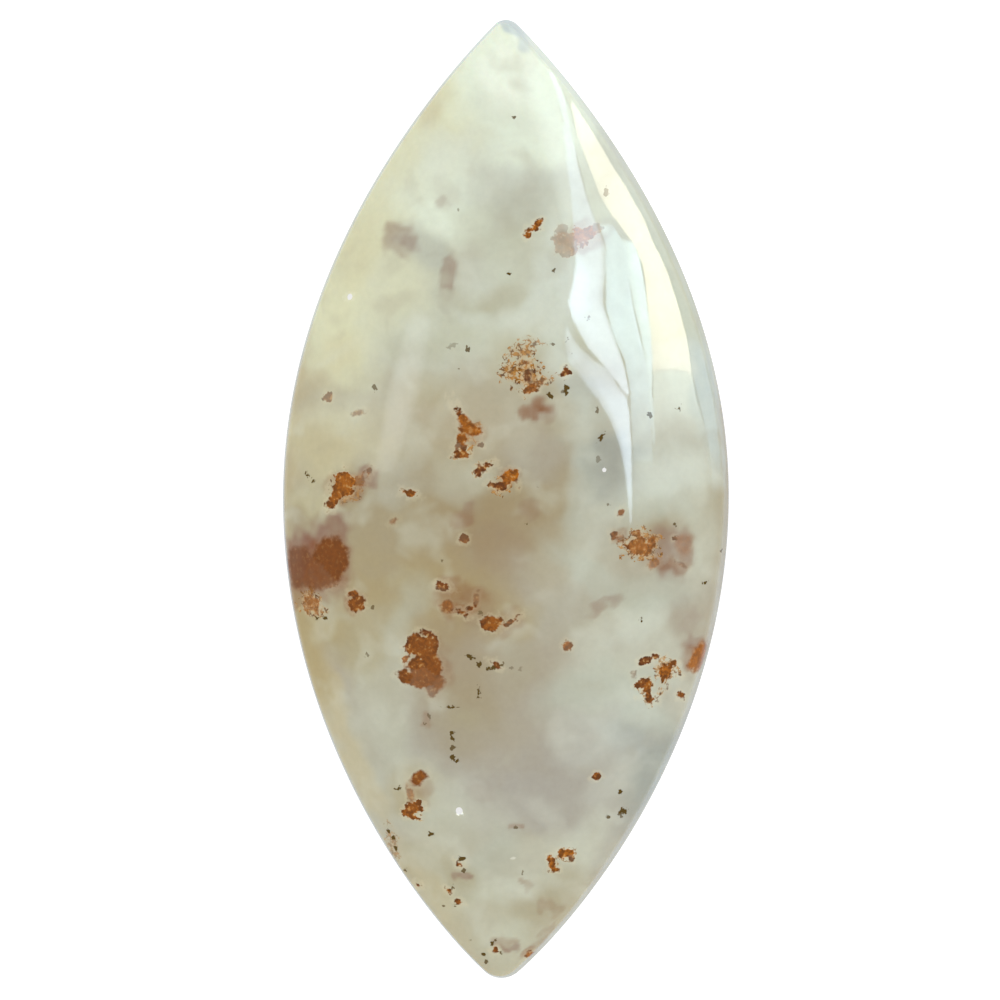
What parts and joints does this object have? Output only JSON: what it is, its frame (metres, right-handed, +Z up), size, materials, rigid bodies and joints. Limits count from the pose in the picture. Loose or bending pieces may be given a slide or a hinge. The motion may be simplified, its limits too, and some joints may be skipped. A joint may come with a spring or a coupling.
{
  "type": "plume agate cabochon",
  "caption": "Pointed oval cabochon of plume agate with a low dome, a thin wall, a bevelled flat back and a high polish.",
  "frame": {"origin": "middle of the flat back, in the plane that the stone rests on", "axes": "+Z up, out of the domed face; +Y along the stone towards its sharper tip; +X across it"},
  "size_m": [0.0214, 0.046, 0.0058],
  "materials": {
    "polished_agate": "polished"
  },
  "bodies": {
    "root": {"agate_cabochon": "polished_agate"}
  },
  "joints": []
}
